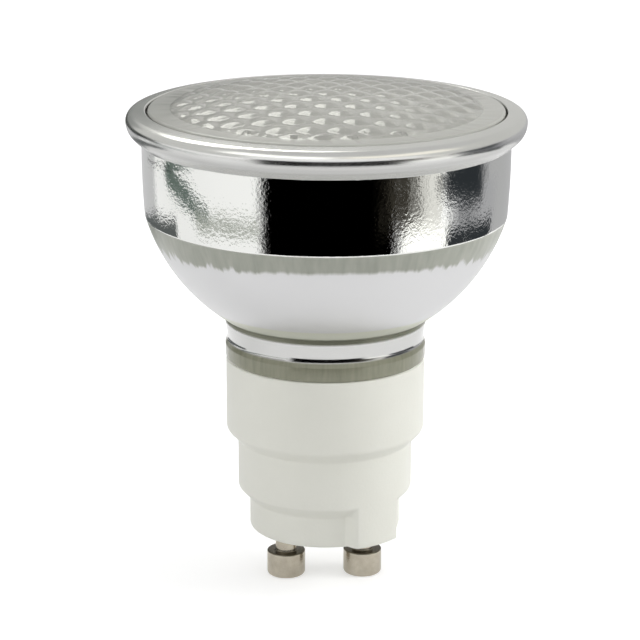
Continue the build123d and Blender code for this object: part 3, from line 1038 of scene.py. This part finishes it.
inner_finishes = {
    "quartz": quartz(),
    "arc_ceramic": inner("arc_ceramic", (0.80, 0.79, 0.75), (0.90, 0.89, 0.86), 500, Roughness=0.35),
    "lead_wire": inner("lead_wire", (0.42, 0.41, 0.40), (0.58, 0.57, 0.55), 900, **METAL, Roughness=0.3),
    "tungsten": inner("tungsten", (0.22, 0.22, 0.23), (0.34, 0.34, 0.35), 900, **METAL, Roughness=0.45),
    "foil_metal": inner("foil_metal", (0.50, 0.50, 0.51), (0.66, 0.66, 0.67), 400, **METAL, Roughness=0.35),
    "frit": inner("frit", (0.42, 0.38, 0.32), (0.56, 0.52, 0.45), 900, Roughness=0.3),
    "solder": inner("solder", (0.55, 0.55, 0.54), (0.70, 0.70, 0.69), 600, **METAL, Roughness=0.4),
    "seal": inner("seal", (0.30, 0.30, 0.28), (0.42, 0.42, 0.40), 500, Roughness=0.6),
    "cement": inner("cement", (0.62, 0.60, 0.55), (0.78, 0.76, 0.71), 350, Roughness=0.85),
}
dressed = 0
for part in frame["record"]["subparts"]:
    node = frame["nodes"][part["node"]]
    finish = inner_finishes.get(part["material_slot"])
    if finish and not node.hide_render:
        node.data.materials.clear()
        node.data.materials.append(finish)
        dressed += 1
print("CAD pieces dressed:", dressed)

# %% [markdown]
# ## Floor, world and lamps
#
# The lamp stands on a pale floor in an even white studio. The world is plain white wherever the camera, a
# mirror or glass sees it, and dimmer as a light on matt surfaces. More light would whiten the background too,
# but it would bleach the ceramic, so the background is white by itself.

# %% Stage helpers
FLOOR_SIZE = 6000.0
SEEN_BY = ("Is Camera Ray", "Is Glossy Ray", "Is Transmission Ray")


def light_path_any(tree, *labels):
    """1 where a ray is of any of these kinds."""
    path = tree.nodes.new("ShaderNodeLightPath")
    total = path.outputs[labels[0]]
    for label in labels[1:]:
        total = maths(tree, "MAXIMUM", total, path.outputs[label])
    return total


def level_square(name, height, material):
    """Mesh of a large level square round the lamp's axis, at a height in mm."""
    half = FLOOR_SIZE / 2 * MM
    mesh = bpy.data.meshes.new(name)
    corners = [(x * half, y * half, height * MM) for x, y in ((-1, -1), (1, -1), (1, 1), (-1, 1))]
    mesh.from_pydata(corners, [], [(0, 1, 2, 3)])
    mesh.materials.append(material)
    return mesh


# %% World and floor
WHITE = (1.0, 1.0, 1.0)
WORLD_LIGHT = 0.55
FLOOR_TONE = (0.74, 0.74, 0.74)
FLOOR_LIFT = 0.38
FLOOR_WHITE = 0.12

world = bpy.data.worlds.new("studio")
bpy.context.scene.world = world
world.use_nodes = True
sky = world.node_tree.nodes["Background"]
feed(world.node_tree, sky.inputs["Color"], WHITE)
seen = light_path_any(world.node_tree, *SEEN_BY)
feed(world.node_tree, sky.inputs["Strength"],
     maths(world.node_tree, "MULTIPLY_ADD", seen, 1.0 - WORLD_LIGHT, WORLD_LIGHT))

floor_tree, floor_shader, floor_paper = new_material(
    "floor_paper", Roughness=0.9, Specular_IOR_Level=0.0, Base_Color=FLOOR_TONE, Emission_Color=WHITE)
lift = maths(floor_tree, "MULTIPLY", light_path_any(floor_tree, *SEEN_BY), FLOOR_LIFT)
lift = maths(floor_tree, "MULTIPLY_ADD", light_path_any(floor_tree, "Is Camera Ray"), FLOOR_WHITE, lift)
feed(floor_tree, floor_shader.inputs["Emission Strength"], lift)
floor = add_object("floor", level_square("floor", 0.0, floor_paper))
print("stage:", world.name, "and", floor.name)

# %% Lamps
AIM = Vector((0, 0, 30)) * MM


def soft_lamp(name, place, size, watts):
    """A square area lamp in mm, aimed at the middle of the object, that mirrors and glass don't show."""
    data = bpy.data.lights.new(name, "AREA")
    data.size = size * MM
    data.energy = watts
    lamp = add_object(name, data)
    lamp.location = Vector(place) * MM
    lamp.rotation_euler = (AIM - lamp.location).to_track_quat("-Z", "Y").to_euler()
    lamp.visible_glossy = False
    lamp.visible_transmission = False
    print(f"{name}: {watts} W")


soft_lamp("key", (520, -60, 260), 260, 1.45)
soft_lamp("fill", (-420, -300, 300), 300, 0.6)
soft_lamp("top", (60, 60, 640), 420, 1.0)

# %% [markdown]
# ## Reflection cards
#
# A mirror is only as good as what it sees. The photograph was taken with a low dark card before the lamp and
# small dark things at its sides. A studio picture on the world could give those reflections, but this script
# uses no pictures, so cards stand there too. The camera doesn't see them, and they cast no shadow. Mirrors
# see them all, and glass sees the large ones.

# %% Card fade
NO_FADE = 0.0001
CARD_MOTTLE = 110.0


def make_card_fade():
    """A card's cover: 1 over its middle and 0 at its edges, with a mottle where it fades."""
    values = {"Across": NO_FADE, "Up": NO_FADE, "Mottle": 0.0}
    group, given, out = new_group("card_fade", values, {"Cover": FLOAT}, vectors=("Vector", "Card Place"))
    cover = 1.0
    for share, fade in zip(split_xyz(group, given["Card Place"]), (given["Across"], given["Up"])):
        inset = maths(group, "MINIMUM", share, maths(group, "SUBTRACT", 1.0, share))
        slope = maths(group, "MINIMUM", maths(group, "DIVIDE", inset, fade), 1.0)
        cover = maths(group, "MULTIPLY", slope, cover)
    speckle = maths(group, "SUBTRACT", noise_of(group, given["Vector"], CARD_MOTTLE), 0.5)
    edge = maths(group, "MULTIPLY", cover, maths(group, "SUBTRACT", 1.0, cover))
    strength = maths(group, "MULTIPLY", given["Mottle"], 4.0)
    cover = maths(group, "MULTIPLY_ADD", maths(group, "MULTIPLY", speckle, edge), strength, cover)
    smooth = group.nodes.new("ShaderNodeMapRange")
    smooth.interpolation_type = "SMOOTHSTEP"
    feed(group, smooth.inputs["Value"], cover)
    feed(group, out["Cover"], smooth.outputs["Result"])
    return group


card_fade = make_card_fade()
print("effect of the cards:", card_fade.name)

# %% Card paint
def card_paint(name, tone, across=0.0, up=0.0, mottle=0.0):
    """A card that mirrors see in one tone, whatever the lamps do, with edges that fade across and up.

    The two fades are shares of the card's own width and height, and mottle breaks the fading edge up."""
    tree, shader, made = new_material(name, Roughness=1.0, Specular_IOR_Level=0.0, Base_Color=(0.0, 0.0, 0.0),
                                      Emission_Color=tone, Emission_Strength=1.0)
    if across or up:
        place = tree.nodes.new("ShaderNodeTexCoord").outputs["UV"]
        cover = place_group(tree, card_fade, Card_Place=place, Mottle=mottle,
                            Across=max(across, NO_FADE), Up=max(up, NO_FADE))["Cover"]
        feed(tree, shader.inputs["Alpha"], cover)
    return made


# %% Paints
# Each paint: tone, then fade across, fade up and mottle
PAINTS = {
    "front": ((0.0, 0.0, 0.0), 0.09, 0.0, 1.2),
    "upper_dark": ((0.02, 0.025, 0.025), 0.15, 0.10, 0.8),
    "brown": ((0.04, 0.036, 0.028), 0.5, 0.3, 2.2),
    "blob": ((0.03, 0.035, 0.04), 0.30, 0.25, 1.8),
    "low_dark": ((0.035, 0.04, 0.045), 0.04, 0.10, 0.6),
    "low_grey": ((0.12, 0.13, 0.13), 0.04, 0.15, 0.8),
    "rim_dark": ((0.05, 0.055, 0.05), 0.15, 0.15),
    "rim_grey": ((0.24, 0.25, 0.24), 0.2, 0.3),
    "moss": ((0.14, 0.18, 0.16), 0.10, 0.30, 1.0),
    "band": ((0.48, 0.50, 0.46), 0.10, 0.30, 1.6),
    "grey": ((0.60, 0.60, 0.58),),
    "sky": ((0.56, 0.56, 0.55),),
    "column": ((0.91, 0.90, 0.86), 0.10),
    "shade_middle": ((0.46, 0.46, 0.48), 0.25, 0.10),
    "shade_left": ((0.62, 0.62, 0.63), 0.08),
    "shade_right": ((0.50, 0.50, 0.51), 0.08),
    "bright": ((1.5, 1.5, 1.45), 0.15, 0.15),
    "cream": ((1.05, 1.02, 0.92), 0.15, 0.15),
    "glint": ((4.4, 4.4, 4.15), 0.2, 0.2),
}
paints = {name: card_paint(f"card_{name}", *values) for name, values in PAINTS.items()}
print("card paints:", len(paints))

# %% Card helpers
STATION_STEP = 5
FLOOR_CLEARANCE = 0.2


def mirror_only(name, mesh, in_glass=False):
    """A stage piece that the camera, matt surfaces and shadows don't know of."""
    card = add_object(name, mesh)
    card.visible_camera = False
    card.visible_diffuse = False
    card.visible_shadow = False
    card.visible_transmission = in_glass


def even(start, end, low, high):
    """Stations of a card of one height, from one azimuth to another."""
    steps = max(2, round(abs(end - start) / STATION_STEP))
    return [(start + (end - start) * step / steps, low, high) for step in range(steps + 1)]


def curved_card(name, distance, paint, stations, in_glass=False):
    """A card in an arc round the lamp, upright at a distance, or flat on the floor if that is None.

    A station is an azimuth in degrees from the front to the right, with the card's lowest and highest point.
    On a flat card these two are its nearest and farthest point."""
    points, places = [], []
    for number, (azimuth, low, high) in enumerate(stations):
        for share, level in enumerate((low, high)):
            radius, height = (level, FLOOR_CLEARANCE) if distance is None else (distance, level)
            points.append(Vector(polar(radius, math.radians(azimuth - 90), height)) * MM)
            places.append((number / (len(stations) - 1), share))
    faces = [(2 * k, 2 * k + 2, 2 * k + 3, 2 * k + 1) for k in range(len(stations) - 1)]
    mesh = bpy.data.meshes.new(name)
    mesh.from_pydata(points, [], faces)
    layer = mesh.uv_layers.new(name="card")
    for loop in mesh.loops:
        layer.data[loop.index].uv = places[loop.vertex_index]
    mesh.materials.append(paints[paint])
    mirror_only(name, mesh, in_glass)


# %% Cards
OVERHEAD = 1200.0

# Each card that mirrors alone see: name, distance, paint and stations. The last four lie on the floor
MIRROR_CARDS = [
    ("front_card", 150.0, "front", even(-46, 42, 0.0, 45.0)),
    ("right_blob", 149.0, "blob", [(58, 19, 56), (68, 14, 56), (84, 8, 56), (99, 10, 56), (110, 18, 56)]),
    ("right_low", 149.0, "low_dark", [(70, -5, 7.5), (90, -4, 9.5), (116, 1, 12)]),
    ("left_upper", 149.0, "upper_dark", [(-145, 26, 50), (-124, 26, 50), (-103, 26, 50)]),
    ("left_slope", 148.0, "moss",
     [(-118, 22, 30), (-106, 16, 30), (-94, 12, 26), (-84, 9, 19), (-74, 8, 15)]),
    ("left_band", 147.0, "band", [(-90, 5, 15), (-66, 4, 14), (-41, 4, 13)]),
    ("left_low", 146.0, "low_grey", [(-160, 3, 14), (-132, 0, 12.5), (-104.5, -3, 11.5)]),
    ("front_frayed", 149.5, "brown", [(22, -4, 50), (35, -2, 49), (47, 3, 44), (59, 8, 36)]),
    ("rim_dark_left", 152.0, "rim_dark", even(-180, -104, 30.0, 66.0)),
    ("rim_dark_end", 153.0, "rim_grey", even(-178, -132, 40.0, 130.0)),
    ("right_bright", 146.0, "bright", even(40, 74, 0.0, 9.0)),
    ("right_column", 152.0, "column", even(36, 68, 4.0, 60.0)),
    ("right_middle", 151.0, "shade_middle", even(66, 125, -3.0, 24.0)),
    ("back_shade_right", 155.0, "shade_right", even(90, 180, 0.0, 60.0)),
    ("back_shade_left", 155.0, "shade_left", even(-180, -128, 0.0, 60.0)),
    ("glint_box", 500.0, "glint", even(-190, -120, 420.0, 900.0)),
    ("front_strip", None, "front", even(-46, 42, 95.0, 150.0)),
    ("right_bright_strip", None, "bright", even(40, 74, 122.0, 149.0)),
    ("right_low_strip", None, "low_dark", even(70, 116, 118.0, 149.0)),
    ("left_low_strip", None, "low_grey", even(-160, -104.5, 118.0, 149.0)),
]
GLASS_CARDS = [
    ("back_wall", 900.0, "grey", even(50, 310, 0.0, 800.0)),
    ("softbox_right", 700.0, "cream", even(0, 85, 300.0, 900.0)),
    ("softbox_left", 705.0, "bright", even(-75, 5, 300.0, 900.0)),
]
for card in MIRROR_CARDS:
    curved_card(*card)
for card in GLASS_CARDS:
    curved_card(*card, in_glass=True)
mirror_only("overhead", level_square("overhead", OVERHEAD, paints["sky"]), in_glass=True)
print("cards:", len(MIRROR_CARDS) + len(GLASS_CARDS) + 1)

# %% [markdown]
# ## The camera
#
# The photograph looks down on the lamp by about 16 degrees from a third of a metre away, through a long lens.
# The camera could be aimed by eye, but then the ellipses never quite agree. Its place was found by fitting
# the circles of rim, crease and base to their ellipses in the picture.

# %% Camera
PICTURE = 640
SENSOR = 36.0
FOCAL_PIXELS = 2569.30
CAMERA_DISTANCE = 315.546
CAMERA_HEIGHT = 125.5
LOOK_DOWN = 16.101
ROLL = 0.265
YAW = 0.128
LAMP_TURN = 4.262

camera_data = bpy.data.cameras.new("camera")
camera_data.sensor_width = SENSOR
camera_data.lens = FOCAL_PIXELS * SENSOR / PICTURE
camera_data.clip_start = 0.01
camera_data.clip_end = 20.0
camera = add_object("camera", camera_data)
camera.location = Vector(polar(CAMERA_DISTANCE, math.radians(-90 - LAMP_TURN), CAMERA_HEIGHT)) * MM
heading = Matrix.Rotation(math.radians(YAW - LAMP_TURN), 4, "Z")
tilt = Matrix.Rotation(math.radians(90 - LOOK_DOWN), 4, "X")
roll = Matrix.Rotation(math.radians(ROLL), 4, "Z")
camera.rotation_euler = (heading @ tilt @ roll).to_euler()
bpy.context.scene.camera = camera
print(f"camera at {[round(c / MM, 1) for c in camera.location]} mm, lens {camera_data.lens:.1f} mm")

# %% [markdown]
# ## Colour and light paths
#
# The Standard view keeps colours as they are written. Light has to pass the lens and the capsule, meet the
# facets and come back out, so it is allowed more bounces than usual.

# %% Colour and light paths
scene = bpy.context.scene
scene.view_settings.view_transform = "Standard"
scene.cycles.max_bounces = 24
scene.cycles.transmission_bounces = 20
scene.cycles.glossy_bounces = 12
print("view:", scene.view_settings.view_transform)
